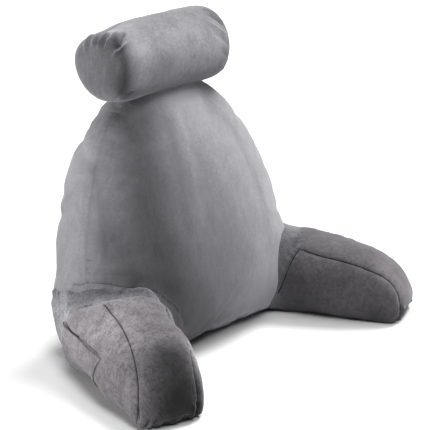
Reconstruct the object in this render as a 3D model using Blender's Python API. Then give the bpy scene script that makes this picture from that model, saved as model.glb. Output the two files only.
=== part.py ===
"""Reading pillow with arms: a stuffed back, two stuffed arms, a neck roll and a side pocket.

Metres, +Z up. The sitter leans on the back's -Y face and faces -Y, so the sitter's right arm is
at -X. The origin is on the floor, under the middle of the whole pillow's bounding box.
The back and the arms are box cushions: two crowned panels sewn to a band all round.
"""

import math

import bmesh
import bpy
import numpy as np
from mathutils import Vector

# The back cushion, an egg standing on its wide end.
BACK_HALF_WIDTH = 0.258
BACK_HEIGHT = 0.510
BACK_WIDEST = 0.130  # height of its widest place
BACK_TOP_ROUNDNESS = 2.13  # 2 is an ellipse, and more is squarer
BACK_FOOT_ROUNDNESS = 3.6
BACK_BAND_FOOT = 0.142  # the side band's width at the floor
BACK_BAND_TOP = 0.076
BACK_BAND_TAPER = 1.35  # above 1, most of the taper is near the top
BACK_FRONT_CROWN = 0.080
BACK_REAR_CROWN = 0.040
BACK_LEAN = 0.128  # how far it leans back for each metre of height

# The arms: D-shaped cushions that stand on their straight side.
ARM_BAND = 0.116
ARM_CROWN = 0.018
ARM_SPLAY = math.radians(23)
ARM_START = (0.207, 0.042)  # where the outline's zero is, to the side and to the rear
ARM_ROOT_FLARE = 0.012  # how much wider the band is where it is sewn to the back
ARM_FLARE_LENGTH = 0.150
ARM_MIDDLE = (0.170, 0.068)  # where the side panels stand out most
ARM_OUTLINE = (
    # forward, height
    (0.035, -0.006),
    (0.150, -0.006),
    (0.320, -0.006),
    (0.369, 0.001),
    (0.378, 0.036),
    (0.357, 0.084),
    (0.300, 0.122),
    (0.205, 0.146),
    (0.100, 0.156),
    (0.030, 0.153),
    (-0.020, 0.122),
    (-0.010, 0.055),
)

# The neck roll.
ROLL_RADIUS = 0.0755
ROLL_HALF_LENGTH = 0.160
ROLL_PLACE = (-0.012, 0.043, 0.560)
ROLL_TILT = math.radians(-1.0)  # its -X end is the lower one
ROLL_END_ROUNDNESS = 5.0

# The pocket on the outer side of the sitter's right arm, as corners of its sheet.
POCKET_MOUTH = ((0.077, 0.103), (0.250, 0.092))  # forward and height of the mouth's two ends
POCKET_FOOT = ((0.077, 0.008), (0.218, 0.008))
POCKET_THICKNESS = 0.0015
POCKET_GAP = 0.0007

# Sewing and sitting.
BAND_BULGE = 0.010
CROWN_FULLNESS = 1.15  # how quickly a panel falls to its seam
PRESSED = 0.006  # how much of a foot is pressed flat on the floor
GAP = 0.001  # between pieces that touch
SEAM_ANGLE = math.radians(35)  # a fold sharper than this is a seam

PLUSH_ROUGHNESS = 0.9
BACK_GREY = (0.200, 0.200, 0.215)
ARM_GREY = (0.150, 0.148, 0.157)
ROLL_GREY = (0.190, 0.190, 0.203)
POCKET_GREY = (0.160, 0.158, 0.167)


def even(points, count):
    """A closed outline again, with its points the same distance apart."""
    loop = np.vstack([points, points[:1]])
    steps = np.linalg.norm(np.diff(loop, axis=0), axis=1)
    along = np.concatenate([[0.0], np.cumsum(steps)])
    at = np.linspace(0.0, along[-1], count, endpoint=False)
    return np.column_stack([np.interp(at, along, loop[:, 0]), np.interp(at, along, loop[:, 1])])


def back_outline(count):
    """The back's seam seen from the front: two half superellipses that share their widest place."""
    angle = np.linspace(0.0, 2.0 * math.pi, 4 * count, endpoint=False)
    upper = np.sin(angle) >= 0.0
    rise = np.where(upper, BACK_HEIGHT - BACK_WIDEST, BACK_WIDEST + PRESSED)
    power = 2.0 / np.where(upper, BACK_TOP_ROUNDNESS, BACK_FOOT_ROUNDNESS)
    side = BACK_HALF_WIDTH * np.sign(np.cos(angle)) * np.abs(np.cos(angle)) ** power
    height = BACK_WIDEST + rise * np.sign(np.sin(angle)) * np.abs(np.sin(angle)) ** power
    return even(np.column_stack([side, height]), count)


def arm_outline(count, steps=10):
    """The arm's seam seen from its side: a smooth closed curve through the rows (Catmull-Rom)."""
    rows = np.array(ARM_OUTLINE)
    points = []
    for i in range(len(rows)):
        a, b, c, d = (rows[(i + k) % len(rows)] for k in (-1, 0, 1, 2))
        for k in range(steps):
            t = k / steps
            bend = t * (2 * a - 5 * b + 4 * c - d) + t * t * (3 * (b - c) + d - a)
            points.append(b + 0.5 * t * (c - a + bend))
    return even(np.array(points), count)


def band_of_arm(forward):
    """The arm band's width, which flares towards the back cushion."""
    near = np.clip(1.0 - forward / ARM_FLARE_LENGTH, 0.0, 1.2)
    return ARM_BAND + ARM_ROOT_FLARE * near * near


def panel_rise(share, crown):
    """How far a panel stands out, from 0 (share) at its middle to 1 at its seam."""
    return crown * np.maximum(1.0 - share * share, 0.0) ** (CROWN_FULLNESS / 2.0)


def box_cushion(name, outline, middle, band, crowns, panel_rings, band_rings):
    """A stuffed box cushion: the outline lies in local XZ, and the band's width runs along Y.

    band has one width for each outline point, and crowns are those of the -Y and +Y panels.
    """
    middle = np.array(middle)
    tangent = np.roll(outline, -1, axis=0) - np.roll(outline, 1, axis=0)
    normal = np.column_stack([tangent[:, 1], -tangent[:, 0]])
    normal /= np.linalg.norm(normal, axis=1)[:, None]
    bulge = BAND_BULGE * np.clip(1.0 + normal[:, 1], 0.0, 1.0)[:, None]  # none under the foot

    def panel_loops(sign, crown):
        loops = []
        for j in range(1, panel_rings + 1):
            share = math.sin(0.5 * math.pi * j / panel_rings)
            flat = middle + share * (outline - middle)
            width = share * band + (1.0 - share) * band.mean()
            loops.append((flat, sign * (width / 2.0 + panel_rise(share, crown))))
        return loops

    loops = panel_loops(-1.0, crowns[0])
    for k in range(1, band_rings):
        across = 2.0 * k / band_rings - 1.0
        loops.append((outline + normal * bulge * (1.0 - across * across), across * band / 2.0))
    loops += reversed(panel_loops(1.0, crowns[1]))
    points = [np.column_stack([flat[:, 0], y, np.maximum(flat[:, 1], 0.0)]) for flat, y in loops]
    tips = [
        (middle[0], -band.mean() / 2.0 - crowns[0], middle[1]),
        (middle[0], band.mean() / 2.0 + crowns[1], middle[1]),
    ]
    return solid(name, points, tips)


def solid(name, loops, tips):
    """A closed object over loops of points, with a fan from a tip at each end."""
    work = bmesh.new()
    rows = [[work.verts.new(point) for point in loop] for loop in loops]
    for a, b in zip(rows, rows[1:]):
        for i in range(len(a)):
            k = (i + 1) % len(a)
            work.faces.new((a[i], a[k], b[k], b[i]))
    for tip, row in zip(tips, (rows[0], rows[-1])):
        point = work.verts.new(tip)
        for i in range(len(row)):
            work.faces.new((point, row[i], row[(i + 1) % len(row)]))
    return linked(name, work)


def linked(name, work):
    """An object in the scene from a finished bmesh, shaded smooth."""
    bmesh.ops.recalc_face_normals(work, faces=work.faces)
    mesh = bpy.data.meshes.new(name)
    work.to_mesh(mesh)
    work.free()
    mesh.shade_smooth()
    mesh.set_sharp_from_angle(angle=SEAM_ANGLE)
    obj = bpy.data.objects.new(name, mesh)
    bpy.context.scene.collection.objects.link(obj)
    return obj


def make_back():
    outline = back_outline(64)
    up = np.clip(outline[:, 1] / BACK_HEIGHT, 0.0, 1.0)
    band = BACK_BAND_FOOT + (BACK_BAND_TOP - BACK_BAND_FOOT) * up**BACK_BAND_TAPER
    crowns = (BACK_FRONT_CROWN, BACK_REAR_CROWN)
    back = box_cushion("back_cushion", outline, (0.0, 0.215), band, crowns, 10, 4)
    for vertex in back.data.vertices:
        vertex.co.y += BACK_LEAN * vertex.co.z
    return back


def make_arm(name, side):
    """side is -1 for the arm at -X and 1 for the arm at +X."""
    outline = arm_outline(52)
    band = band_of_arm(outline[:, 0])
    arm = box_cushion(name, outline, ARM_MIDDLE, band, (ARM_CROWN, ARM_CROWN), 7, 4)
    arm.location = (side * ARM_START[0], ARM_START[1], 0.0)
    arm.rotation_euler.z = -math.pi / 2.0 + side * ARM_SPLAY
    return arm


def make_roll(rings=18, sides=40):
    loops = []
    around = np.linspace(0.0, 2.0 * math.pi, sides, endpoint=False)
    for j in range(1, rings):
        turn = math.cos(math.pi * j / rings)
        share = math.copysign(abs(turn) ** 0.6, turn)
        radius = ROLL_RADIUS * (1.0 - abs(share) ** ROLL_END_ROUNDNESS) ** (1.0 / ROLL_END_ROUNDNESS)
        along = np.full(sides, -ROLL_HALF_LENGTH * share)
        loops.append(np.column_stack([along, radius * np.cos(around), radius * np.sin(around)]))
    roll = solid("neck_roll", loops, [(-ROLL_HALF_LENGTH, 0.0, 0.0), (ROLL_HALF_LENGTH, 0.0, 0.0)])
    roll.location = ROLL_PLACE
    roll.rotation_euler.y = ROLL_TILT
    return roll


def arm_side(forward, height, outline):
    """How far the arm's side panel stands out from its middle plane at a place on it."""
    middle = Vector(ARM_MIDDLE)
    ray = Vector((forward, height)) - middle
    band = band_of_arm(outline[:, 0])
    for i in range(len(outline)):
        k = (i + 1) % len(outline)
        a, b = Vector(outline[i]) - middle, Vector(outline[k]) - middle
        turn = a.x * b.y - a.y * b.x
        along_a = (ray.x * b.y - ray.y * b.x) / turn
        along_b = (a.x * ray.y - a.y * ray.x) / turn
        if along_a >= 0.0 and along_b >= 0.0:
            share = along_a + along_b
            edge = (along_a * band[i] + along_b * band[k]) / share if share else band.mean()
            width = share * edge + (1.0 - share) * band.mean()
            return width / 2.0 + panel_rise(share, ARM_CROWN)
    return band.mean() / 2.0


def make_pocket(arm, columns=14, rows=9):
    """A thin closed sheet that follows the arm's outer side, from its mouth to its foot."""
    outline = arm_outline(52)
    work = bmesh.new()
    sheets = []
    for lift in (POCKET_GAP, POCKET_GAP + POCKET_THICKNESS):
        grid = []
        for i in range(columns + 1):
            mouth = Vector(POCKET_MOUTH[0]).lerp(Vector(POCKET_MOUTH[1]), i / columns)
            foot = Vector(POCKET_FOOT[0]).lerp(Vector(POCKET_FOOT[1]), i / columns)
            places = [foot.lerp(mouth, j / rows) for j in range(rows + 1)]
            out = [-arm_side(p.x, p.y, outline) - lift for p in places]
            grid.append([work.verts.new((p.x, y, p.y)) for p, y in zip(places, out)])
        sheets.append(grid)
    for grid in sheets:
        for i in range(columns):
            for j in range(rows):
                work.faces.new((grid[i][j], grid[i + 1][j], grid[i + 1][j + 1], grid[i][j + 1]))
    inner, outer = sheets
    rim = [(i, 0) for i in range(columns)] + [(columns, j) for j in range(rows)]
    rim += [(i, rows) for i in range(columns, 0, -1)] + [(0, j) for j in range(rows, 0, -1)]
    for (i, j), (k, m) in zip(rim, rim[1:] + rim[:1]):
        work.faces.new((inner[i][j], inner[k][m], outer[k][m], outer[i][j]))
    pocket = linked("side_pocket", work)
    pocket.location = arm.location
    pocket.rotation_euler = arm.rotation_euler
    return pocket


def grown_copy(obj):
    """A guide that is larger than the piece by the gap, and cuts what touches the piece."""
    work = bmesh.new()
    work.from_mesh(obj.data)
    work.normal_update()
    moves = [vertex.normal * GAP for vertex in work.verts]
    for vertex, move in zip(work.verts, moves):
        vertex.co += move
    guide = linked(obj.name + "_guide", work)
    guide.hide_render = True
    guide.display_type = "WIRE"
    return guide


def clear_of(obj, guide):
    """Cuts a piece back to its neighbour's grown surface."""
    boolean = obj.modifiers.new("clear_of_" + guide.name, "BOOLEAN")
    boolean.operation = "DIFFERENCE"
    boolean.solver = "EXACT"
    boolean.object = guide


def plush(name, colour):
    material = bpy.data.materials.new(name)
    material.use_nodes = True
    shader = material.node_tree.nodes["Principled BSDF"]
    shader.inputs["Base Color"].default_value = (*colour, 1.0)
    shader.inputs["Roughness"].default_value = PLUSH_ROUGHNESS
    shader.inputs["Metallic"].default_value = 0.0
    return material


def bounding_box(pieces):
    """The lowest and highest corner of the finished pieces."""
    depsgraph = bpy.context.evaluated_depsgraph_get()
    corners = []
    for obj in pieces:
        made = obj.evaluated_get(depsgraph)
        corners += [made.matrix_world @ vertex.co for vertex in made.data.vertices]
    corners = np.array(corners)
    return corners.min(axis=0), corners.max(axis=0)


def main():
    for obj in list(bpy.data.objects):
        bpy.data.objects.remove(obj)
    back = make_back()
    right = make_arm("arm_right", -1)
    left = make_arm("arm_left", 1)
    roll = make_roll()
    pocket = make_pocket(right)
    guide = grown_copy(back)
    for obj in (right, left, roll):
        clear_of(obj, guide)

    pieces = [back, right, left, roll, pocket]
    colours = [BACK_GREY, ARM_GREY, ARM_GREY, ROLL_GREY, POCKET_GREY]
    for obj, colour in zip(pieces, colours):
        obj.data.materials.append(plush(obj.name + "_plush", colour))

    low, high = bounding_box(pieces)
    centre = bpy.data.objects.new("pillow_centre", None)
    bpy.context.scene.collection.objects.link(centre)
    for obj in pieces + [guide]:
        obj.parent = centre
    centre.location = (-(low[0] + high[0]) / 2.0, -(low[1] + high[1]) / 2.0, -low[2])


main()
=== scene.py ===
"""Looks of a reading pillow with arms: a stuffed back, two arms, a neck roll and a side pocket.

The stuffed pieces start from the frame's solids. Each is remeshed, blown up as cloth, sewn in
along its seams and creased. The pocket is a sheet laid on the right arm's outer side.
"""

import math

import bmesh
import bpy
import numpy as np
from bpy.props import FloatProperty, FloatVectorProperty, IntProperty, PointerProperty
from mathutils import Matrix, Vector
from mathutils.bvhtree import BVHTree
from mathutils.kdtree import KDTree


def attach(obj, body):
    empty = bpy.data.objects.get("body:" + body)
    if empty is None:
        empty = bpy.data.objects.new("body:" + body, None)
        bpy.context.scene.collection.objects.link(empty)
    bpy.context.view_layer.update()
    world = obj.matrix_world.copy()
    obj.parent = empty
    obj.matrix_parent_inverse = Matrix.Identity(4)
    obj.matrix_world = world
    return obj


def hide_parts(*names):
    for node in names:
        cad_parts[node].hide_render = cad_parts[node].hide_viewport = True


bl_info = {
    "name": "Reading Pillow with Arms",
    "version": (1, 0, 0),
    "blender": (4, 5, 0),
    "location": "View3D > Sidebar > Pillow",
    "description": "Makes the plush, seams and creases of a stuffed reading pillow",
    "category": "Object",
}

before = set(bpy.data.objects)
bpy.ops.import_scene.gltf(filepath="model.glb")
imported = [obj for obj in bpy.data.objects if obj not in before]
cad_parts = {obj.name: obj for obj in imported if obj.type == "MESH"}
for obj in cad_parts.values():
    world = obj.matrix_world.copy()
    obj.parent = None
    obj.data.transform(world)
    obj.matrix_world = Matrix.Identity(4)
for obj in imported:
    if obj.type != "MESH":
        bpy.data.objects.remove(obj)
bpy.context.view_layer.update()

# ---------------------------------------------------------------- the pillow's own measures

CENTRE_Y = 0.1001  # from the arms' and back's own zero to the whole pillow's middle

ARM_SPLAY = math.radians(23)
ARM_START = (0.207, 0.042)

ROLL_MIDDLE = (-0.012, 0.1435, 0.5605)
ROLL_HALF_LENGTH = 160.0  # this and the radius in millimetres, as in the roll's rows
ROLL_RADIUS = 75.5

# The remesh's voxels: fine enough for the creases, and coarse enough for the number of triangles.
BACK_VOXEL = 0.0076
ARM_VOXEL = 0.0054
ROLL_VOXEL = 0.0050

SEWN_DEPTH = -0.003  # how far the arm's cloth reaches into the back's, where both are sewn together
CLEARANCE = 0.0006  # between pieces that only rest on each other
COLLAR_FLARE = 0.014  # how far the collar widens where it meets the back

# The pocket's corners on the arm's outer side, as rows of forward and height in millimetres.
POCKET_MOUTH = ((77, 103), (250, 92))
POCKET_FOOT = ((77, 6), (218, 6))
POCKET_THICKNESS = 0.0014
POCKET_GAPE = 0.0020  # how far the mouth stands open

# ---------------------------------------------------------------- settings


class PillowSettings(bpy.types.PropertyGroup):
    """Sizes and colours that a user would change."""

    plush_colour: FloatVectorProperty(
        name="Plush", description="Colour of the back and the roll",
        subtype="COLOR", default=(0.160, 0.160, 0.172),
    )
    arm_colour: FloatVectorProperty(
        name="Arms", description="Colour of the arms, a warmer grey",
        subtype="COLOR", default=(0.120, 0.113, 0.120),
    )
    seam_depth: FloatProperty(
        name="Seam depth", description="How far a seam is drawn in",
        default=0.0042, unit="LENGTH", min=0.0, max=0.01,
    )
    seam_width: FloatProperty(
        name="Seam width", description="Half width of a seam's dip",
        default=0.0065, unit="LENGTH", min=0.002, max=0.02,
    )
    seam_groove: FloatProperty(
        name="Seam groove", description="Half width of the groove at the stitches",
        default=0.0016, unit="LENGTH",
    )
    pressure: FloatProperty(
        name="Pressure", description="How hard the pieces are blown up", default=4.0, min=0.0
    )
    fullness_cap: FloatProperty(
        name="Fullness", description="The most that a stuffed piece swells",
        default=0.022, unit="LENGTH", min=0.0,
    )
    cloth_frames: IntProperty(name="Cloth steps", description="Frames of cloth simulation", default=20, min=1)


# ---------------------------------------------------------------- outlines


def metres(rows):
    """Points in the frame from rows of x, y and z, which are given in millimetres."""
    return np.asarray(rows, float).reshape(-1, 3) / 1000.0


def smooth_open(rows, steps=12):
    """A smooth curve through the rows, from the first to the last."""
    rows = np.array(rows, float)
    padded = np.vstack([2 * rows[0] - rows[1], rows, 2 * rows[-1] - rows[-2]])
    points = []
    for i in range(1, len(padded) - 2):
        a, b, c, d = padded[i - 1 : i + 3]
        for k in range(steps):
            t = k / steps
            bend = t * (2 * a - 5 * b + 4 * c - d) + t * t * (3 * (b - c) + d - a)
            points.append(b + 0.5 * t * (c - a + bend))
    points.append(rows[-1])
    return np.array(points)


class ArmFrame:
    """An arm's own directions: forward along it, out to its outer side, and height."""

    def __init__(self, side):
        self.side = side
        turn = -math.pi / 2.0 + side * ARM_SPLAY
        self.start = np.array([side * ARM_START[0], ARM_START[1] + CENTRE_Y, 0.0])
        self.forward = np.array([math.cos(turn), math.sin(turn), 0.0])
        self.out = side * np.array([-math.sin(turn), math.cos(turn), 0.0])

    def place(self, rows):
        """Points in the frame from rows of forward, out and height in millimetres."""
        rows = metres(rows)
        up = np.array([0.0, 0.0, 1.0])
        return self.start + rows[:, :1] * self.forward + rows[:, 1:2] * self.out + rows[:, 2:] * up

    def read(self, points):
        """Rows of forward, out and height from points in the frame."""
        away = points - self.start
        return np.column_stack([away @ self.forward, away @ self.out, points[:, 2]])


class RollFrame:
    """The roll's own directions: along it to the left end, out from its axis, and degrees up from the
    front. Lengths are in millimetres.
    """

    def place(self, rows):
        """Points in the frame from rows of along, radius and angle."""
        along, radius, turn = np.asarray(rows, float).reshape(-1, 3).T
        turn = np.radians(turn)
        return ROLL_MIDDLE + metres(np.column_stack([along, -radius * np.cos(turn), radius * np.sin(turn)]))

    def read(self, points):
        """Rows of along, radius and angle from points in the frame."""
        away = (points - np.array(ROLL_MIDDLE)) * 1000.0
        turn = np.degrees(np.arctan2(away[:, 2], -away[:, 1]))
        return np.column_stack([away[:, 0], np.hypot(away[:, 1], away[:, 2]), turn])


# The arm's seams, from the collar or the floor to the nose's foot.
OUTER_SEAM = (
    # forward, out, height
    (152, 39, 157),
    (195, 38, 153),
    (240, 39, 144),
    (285, 43, 130),
    (325, 49, 110),
    (356, 57, 80),
    (370, 62, 35),
    (366, 61, 0),
)
INNER_SEAM = (
    (168, -66, 140),
    (226, -67, 131),
    (276, -65, 122),
    (325, -58, 107),
    (352, -50, 90),
    (371, -46, 64),
    (377, -46, 30),
    (370, -47, 0),
)
# Where the stuffed arm is sewn to its collar, from the outer side's foot over the top.
COLLAR_SEAM = (
    (62, 62, 0),
    (70, 74, 60),
    (80, 77, 110),
    (112, 70, 143),
    (148, 40, 157),
    (157, 4, 162),
    (162, -32, 160),
    (171, -60, 148),
    (168, -72, 130),
    (155, -76, 100),
    (142, -78, 66),
    (128, -74, 0),
)


# ---------------------------------------------------------------- mesh work


def select_only(obj):
    bpy.ops.object.select_all(action="DESELECT")
    bpy.context.view_layer.objects.active = obj
    obj.select_set(True)


def apply_modifier(obj, kind, **settings):
    select_only(obj)
    modifier = obj.modifiers.new(kind.lower(), kind)
    for key, value in settings.items():
        setattr(modifier, key, value)
    bpy.ops.object.modifier_apply(modifier=modifier.name)


def positions(obj):
    co = np.empty(len(obj.data.vertices) * 3)
    obj.data.vertices.foreach_get("co", co)
    return co.reshape(-1, 3)


def normals(obj):
    co = np.empty(len(obj.data.vertices) * 3)
    obj.data.vertices.foreach_get("normal", co)
    return co.reshape(-1, 3)


def set_positions(obj, points):
    obj.data.vertices.foreach_set("co", np.ascontiguousarray(points, float).ravel())
    obj.data.update()


def set_attribute(obj, name, values):
    attribute = obj.data.attributes.get(name) or obj.data.attributes.new(name, "FLOAT", "POINT")
    attribute.data.foreach_set("value", np.asarray(values, np.float32))


def tree_of(obj):
    return BVHTree.FromPolygons(
        [v.co.copy() for v in obj.data.vertices], [list(p.vertices) for p in obj.data.polygons]
    )


def ripple(points, size, seed):
    """Smooth noise in -1 to 1 over points, from a few sine waves in turned directions."""
    random = np.random.default_rng(seed)
    total = np.zeros(len(points))
    for _ in range(7):
        way = random.normal(size=3)
        way /= np.linalg.norm(way)
        pitch = size * random.uniform(0.7, 1.5)
        total += np.sin(points @ way * (2.0 * math.pi / pitch) + random.uniform(0.0, 6.28))
    return total / 3.2


def laid_on(tree, rows, steps=14):
    """A smooth line through the rows, laid on the surface."""
    line = smooth_open(rows, steps) if len(rows) > 1 else np.array(rows, float)
    return np.array([tree.find_nearest(Vector(p))[0] for p in line])


def nearest_on(line, points, closed=False):
    """For each point: its distance to the line, the share of the line before it, and the way to it."""
    ends = np.vstack([line, line[:1]]) if closed else line
    tree = KDTree(len(ends))
    for i, p in enumerate(ends):
        tree.insert(Vector(p), i)
    tree.balance()
    index = np.array([tree.find(Vector(p))[1] for p in points])
    best = np.full(len(points), np.inf)
    along = np.zeros(len(points))
    way = np.zeros((len(points), 3))
    for step in (-1, 0):
        start = np.clip(index + step, 0, len(ends) - 2)
        a, b = ends[start], ends[start + 1]
        ab = b - a
        length = np.maximum((ab * ab).sum(axis=1), 1e-12)
        t = np.clip(((points - a) * ab).sum(axis=1) / length, 0.0, 1.0)
        foot = a + t[:, None] * ab
        gap = np.linalg.norm(points - foot, axis=1)
        better = gap < best
        best = np.where(better, gap, best)
        along = np.where(better, (start + t) / (len(ends) - 1), along)
        way = np.where(better[:, None], foot - points, way)
    return best, along, way


def close_to(points, line, reach):
    low, high = line.min(axis=0) - reach, line.max(axis=0) + reach
    return np.nonzero(((points > low) & (points < high)).all(axis=1))[0]


END_FADE = 0.25  # the share of a stroke's line over which each end fades out


class Stroke:
    """A crease: rows of places, a height and a half width in millimetres, and a shade.

    A positive height stands out, and a negative one goes in. The shade is the painted shade on its line.
    """

    def __init__(self, rows, height, width, shade=0.0):
        self.rows, self.height, self.width, self.shade = rows, height / 1000.0, width / 1000.0, shade


def lay_strokes(obj, strokes, place=metres):
    """Moves the surface along its normals by each stroke's soft trough or ridge, and gives the painted shade
    along it.
    """
    tree = tree_of(obj)
    lines = [laid_on(tree, place(stroke.rows)) for stroke in strokes]
    refine(obj, [line for line, stroke in zip(lines, strokes) if stroke.width < 0.006], 0.006)
    points, out = positions(obj), normals(obj)
    lift = np.zeros(len(points))
    shade = np.zeros(len(points))
    for line, stroke in zip(lines, strokes):
        near = close_to(points, line, 3.2 * stroke.width)
        gap, along, _ = nearest_on(line, points[near])
        fade = np.clip(np.minimum(along, 1.0 - along) / END_FADE, 0.0, 1.0)
        fade = fade * fade * (3.0 - 2.0 * fade)
        lift[near] += fade * stroke.height * np.exp(-((gap / stroke.width) ** 2))
        # painted shade along each stroke's line
        shade[near] += fade * stroke.shade * np.exp(-((gap / (0.5 * stroke.width)) ** 2))
    set_positions(obj, points + out * lift[:, None])
    return shade


class LightAndNapBrush:
    """A place where painted light or shade, or a streak of the nap, lies: rows, a half width in millimetres
    and stops.

    Each stop doubles the light.
    """

    def __init__(self, rows, width, stops):
        self.rows, self.width, self.stops = rows, width / 1000.0, stops


def paint_light_and_nap(obj, light_and_nap, place=metres, onto=None):
    """Stores the painted light and shade, with the nap's streaks, at each point, as a share of the plain
    colour.
    """
    points = positions(obj)
    tree = tree_of(onto or obj)
    stops = np.zeros(len(points))
    for stroke in light_and_nap:
        line = laid_on(tree, place(stroke.rows), 6)
        near = close_to(points, line, 2.6 * stroke.width)
        if not len(near):
            continue
        gap, _, _ = nearest_on(line, points[near])
        stops[near] += stroke.stops * np.exp(-((gap / stroke.width) ** 2))
    set_attribute(obj, "painted_light_and_nap", 2.0**stops)


def refine(obj, lines, reach):
    """Splits the faces near the lines once more, so that a narrow groove has points enough."""
    mesh = obj.data
    centres = np.empty(len(mesh.polygons) * 3)
    mesh.polygons.foreach_get("center", centres)
    centres = centres.reshape(-1, 3)
    chosen = np.zeros(len(centres), bool)
    for line in lines:
        near = close_to(centres, line, reach)
        chosen[near[nearest_on(line, centres[near])[0] < reach]] = True
    work = bmesh.new()
    work.from_mesh(mesh)
    work.faces.ensure_lookup_table()
    edges = {edge for i in np.nonzero(chosen)[0] for edge in work.faces[int(i)].edges}
    bmesh.ops.subdivide_edges(work, edges=list(edges), cuts=1, use_grid_fill=True)
    work.to_mesh(mesh)
    work.free()
    mesh.shade_smooth()


class Seam:
    """A seam's rows, how far it draws in (1 is the usual depth) and how much of its dark line shows, which is
    partly painted shade in its groove.
    """

    def __init__(self, rows, draw=1.0, line=1.0, closed=False):
        self.rows, self.draw, self.line, self.closed = rows, draw, line, closed


def sew(obj, seams, settings, seed, place=metres):
    """Draws the surface in along seams, with small puckers, and stores how far off each point lies, for the
    painted shade along the seams.
    """
    tree = tree_of(obj)
    lines = []
    for seam in seams:
        rows = place(seam.rows)
        line = rows if seam.closed else smooth_open(rows)
        lines.append(np.array([tree.find_nearest(Vector(p))[0] for p in line]))
    for reach in (0.009, 0.004):
        refine(obj, lines, reach)
    points, out = positions(obj), normals(obj)
    width, groove = settings.seam_width, settings.seam_groove
    lift = np.zeros(len(points))
    far = np.full(len(points), 0.05)
    for line, seam in zip(lines, seams):
        length = np.linalg.norm(np.diff(line, axis=0), axis=1).sum()
        near = close_to(points, line, 5.0 * width)
        gap, along, _ = nearest_on(line, points[near], seam.closed)
        ends = np.clip(np.minimum(along, 1.0 - along) / 0.04 + seam.closed, 0.0, 1.0)
        run = along * length
        pucker = np.sin(run * 2 * math.pi / 0.019 + 2.2 * np.sin(run * 2 * math.pi / 0.083 + seed))
        pucker *= 0.5 + 0.5 * np.sin(run * 2 * math.pi / 0.137 + 2.0 * seed)
        dip = np.exp(-gap / width)
        cut = np.exp(-((gap / groove) ** 2))
        skirt = np.exp(-((gap / (1.6 * width)) ** 2)) * (1.0 - cut)
        depth = settings.seam_depth * seam.draw * (0.3 + 0.7 * ends)
        lift[near] -= depth * (0.62 * dip + 0.38 * cut - 0.16 * skirt * pucker)
        far[near] = np.minimum(far[near], gap + 0.0022 * (1.0 - seam.line * ends))
    set_positions(obj, points + out * lift[:, None])
    set_attribute(obj, "seam", far)


def pucker(obj, rows, spacing, reach, depth, seed):
    """Short uneven tucks that cross a line, as where a stuffed panel is eased into its seam."""
    random = np.random.default_rng(seed)
    tree = tree_of(obj)
    line = laid_on(tree, metres(rows))
    points, out = positions(obj), normals(obj)
    near = close_to(points, line, 2.0 * reach)
    gap, along, _ = nearest_on(line, points[near])
    length = np.linalg.norm(np.diff(line, axis=0), axis=1).sum()
    run = along * length
    lift = np.zeros(len(near))
    for at in np.arange(0.5 * spacing, length, spacing):
        at += random.uniform(-0.35, 0.35) * spacing
        width = random.uniform(0.10, 0.20) * spacing
        long = random.uniform(0.5, 1.0) * reach
        size = depth * random.uniform(-1.0, 0.45)
        lift += size * np.exp(-(((run - at) / width) ** 2) - (gap / long) ** 2)
    points[near] += out[near] * lift[:, None]
    set_positions(obj, points)


def nudge(obj, rows, place=metres, turn=metres):
    """Soft moves of the surface. A row is a place, a reach and a way to go, in millimetres."""
    points = positions(obj)
    change = np.zeros(points.shape)
    for row in rows:
        gap = np.linalg.norm(points - place(row[:3]), axis=1)
        change += np.exp(-((1000.0 * gap / row[3]) ** 2))[:, None] * turn(row[4:7])
    set_positions(obj, points + change)


def stuffed(name, node, voxel, settings, softness=14):
    """A piece's surface: the solid's mesh, remeshed, blown up as cloth with some slack, and smoothed."""
    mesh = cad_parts[node].data.copy()
    mesh.materials.clear()
    obj = bpy.data.objects.new(name, mesh)
    bpy.context.scene.collection.objects.link(obj)
    work = bmesh.new()
    work.from_mesh(mesh)
    bmesh.ops.remove_doubles(work, verts=work.verts, dist=1e-5)
    work.to_mesh(mesh)
    work.free()
    apply_modifier(obj, "REMESH", mode="VOXEL", voxel_size=voxel)
    apply_modifier(obj, "SMOOTH", factor=0.5, iterations=softness)
    start = positions(obj)
    blow_up(obj, settings)
    moved = positions(obj) - start
    far = np.linalg.norm(moved, axis=1)
    cap = settings.fullness_cap
    moved *= (cap * np.tanh(far / cap) / np.maximum(far, 1e-9))[:, None]
    set_positions(obj, start + moved)
    apply_modifier(obj, "SMOOTH", factor=0.5, iterations=2)
    apply_modifier(obj, "SUBSURF", levels=1, render_levels=1)
    obj.data.shade_smooth()
    return obj


def blow_up(obj, settings):
    """Runs the cloth simulation, with pressure from inside and no weight, and keeps its last frame."""
    scene = bpy.context.scene
    cloth = obj.modifiers.new("cloth", "CLOTH")
    stuff = cloth.settings
    stuff.use_pressure = True
    stuff.uniform_pressure_force = settings.pressure
    stuff.effector_weights.gravity = 0.0
    stuff.quality = 4
    stuff.mass = 0.3
    stuff.tension_stiffness = 15.0
    stuff.compression_stiffness = 15.0
    stuff.shear_stiffness = 5.0
    stuff.bending_stiffness = 0.5
    stuff.air_damping = 5.0
    stuff.shrink_min = -0.02
    cloth.collision_settings.use_collision = False
    for step in range(1, settings.cloth_frames + 1):
        scene.frame_set(step)
    select_only(obj)
    bpy.ops.object.modifier_apply(modifier=cloth.name)
    scene.frame_set(1)


def slim_collar(obj, arm, step):
    """Lowers the surface behind the collar seam, so that the stuffed arm stands proud of its collar."""
    points, out = positions(obj), normals(obj)
    line = arm.place(smooth_open(COLLAR_SEAM))
    gap, _, way = nearest_on(line, points)
    ahead = -(way @ arm.forward)
    behind = 1.0 / (1.0 + np.exp(np.clip(ahead / 0.0030, -30.0, 30.0)))
    depth = step * np.exp(-((np.maximum(-ahead, 0.0) / 0.050) ** 2)) * behind
    swell = 0.40 * step * np.exp(-(((ahead - 0.018) / 0.016) ** 2)) * (gap < 0.06)
    set_positions(obj, points + out * (swell - depth)[:, None])
    return behind


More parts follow.
